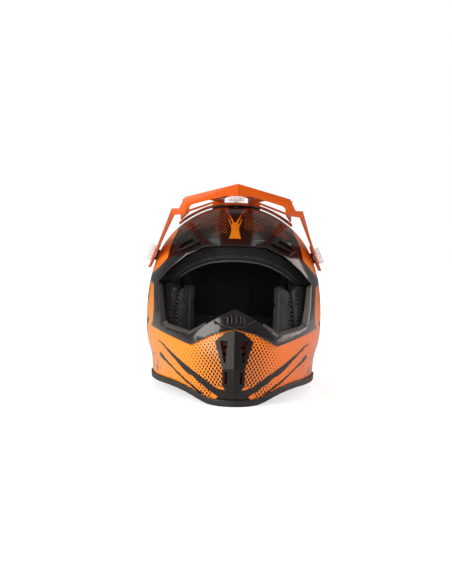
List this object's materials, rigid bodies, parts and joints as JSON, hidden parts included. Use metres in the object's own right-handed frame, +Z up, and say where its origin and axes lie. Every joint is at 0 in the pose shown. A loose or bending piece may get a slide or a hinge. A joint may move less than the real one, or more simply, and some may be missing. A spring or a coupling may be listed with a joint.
{
  "type": "motocross helmet",
  "caption": "Full-face off-road helmet with a vented chin bar, an open eyeport, a tilting open-work peak on hand screws, removable cheek pads and a ring-fastened chin strap.",
  "frame": {"origin": "on the resting plane, below the middle of the whole helmet with its peak", "axes": "+Z up, the face looks along -Y, +X is on the right as seen from the front"},
  "size_m": [0.256, 0.3804, 0.279],
  "materials": {
    "shell_paint": "gloss",
    "peak_orange": "satin",
    "black_gloss": "gloss",
    "black_satin": "satin",
    "vent_red": "matte",
    "black_rubber": "matte",
    "foam_black": "matte",
    "mesh_cloth": "matte",
    "liner_cloth": "matte",
    "pale_plastic": "satin",
    "insert_steel": "satin",
    "webbing": "matte",
    "ring_steel": "satin"
  },
  "bodies": {
    "helmet": {"outer_shell": "shell_paint", "eyeport_frame": "black_gloss", "nose_guard": "black_gloss", "mouth_vent_housing": "black_satin", "mouth_vent_grille": "vent_red", "rear_exhaust": "black_satin", "bottom_edge_trim": "black_rubber", "eps_crown": "foam_black", "eps_chin": "foam_black", "brow_pad": "mesh_cloth", "crown_liner": "liner_cloth", "neck_pad": "liner_cloth", "centre_insert": "insert_steel", "brow_vent_right": "black_gloss", "brow_vent_left": "black_gloss", "rear_vent_right": "black_gloss", "rear_vent_left": "black_gloss", "cheek_block_right": "foam_black", "cheek_block_left": "foam_black", "cheek_snap_upper_right": "black_satin", "cheek_snap_upper_left": "black_satin", "cheek_snap_lower_right": "black_satin", "cheek_snap_lower_left": "black_satin", "side_insert_right": "insert_steel", "side_insert_left": "insert_steel", "strap_anchor_right": "ring_steel", "strap_anchor_left": "ring_steel", "strap_rivet_right": "ring_steel", "strap_rivet_left": "ring_steel"},
    "peak": {"peak": "peak_orange"},
    "side_screw_right": {"side_screw_right": "pale_plastic"},
    "side_screw_left": {"side_screw_left": "pale_plastic"},
    "centre_screw": {"centre_screw": "pale_plastic"},
    "chin_strap": {"chin_strap_long": "webbing", "chin_strap_short": "webbing", "d_ring_inner": "ring_steel", "d_ring_outer": "ring_steel", "strap_snap": "black_satin", "chin_strap_pad": "liner_cloth"},
    "cheek_pad_right": {"cheek_pad_right": "mesh_cloth"},
    "cheek_pad_left": {"cheek_pad_left": "mesh_cloth"}
  },
  "joints": [
    {"name": "peak_tilt", "type": "hinge", "parent": "helmet", "child": "peak", "pos_m": [0, 0.0498, 0.188], "axis": [1, 0, 0], "range_deg": [-6, 4]},
    {"name": "side_screw_right_turn", "type": "hinge", "parent": "helmet", "child": "side_screw_right", "pos_m": [0.116, 0.0498, 0.188], "axis": [0.9285, 0, 0.3714], "continuous": true},
    {"name": "side_screw_left_turn", "type": "hinge", "parent": "helmet", "child": "side_screw_left", "pos_m": [-0.116, 0.0498, 0.188], "axis": [-0.9285, 0, 0.3714], "continuous": true},
    {"name": "centre_screw_turn", "type": "hinge", "parent": "helmet", "child": "centre_screw", "pos_m": [0, 0.0498, 0.265], "axis": [0, 0, 1], "continuous": true},
    {"name": "chin_strap_swing", "type": "hinge", "parent": "helmet", "child": "chin_strap", "pos_m": [0, 0.0578, 0.08], "axis": [1, 0, 0], "range_deg": [-20, 10]},
    {"name": "cheek_pad_right_pull", "type": "slide", "parent": "helmet", "child": "cheek_pad_right", "axis": [-1, 0, 0], "range_m": [0, 0.012]},
    {"name": "cheek_pad_left_pull", "type": "slide", "parent": "helmet", "child": "cheek_pad_left", "axis": [1, 0, 0], "range_m": [0, 0.012]}
  ]
}
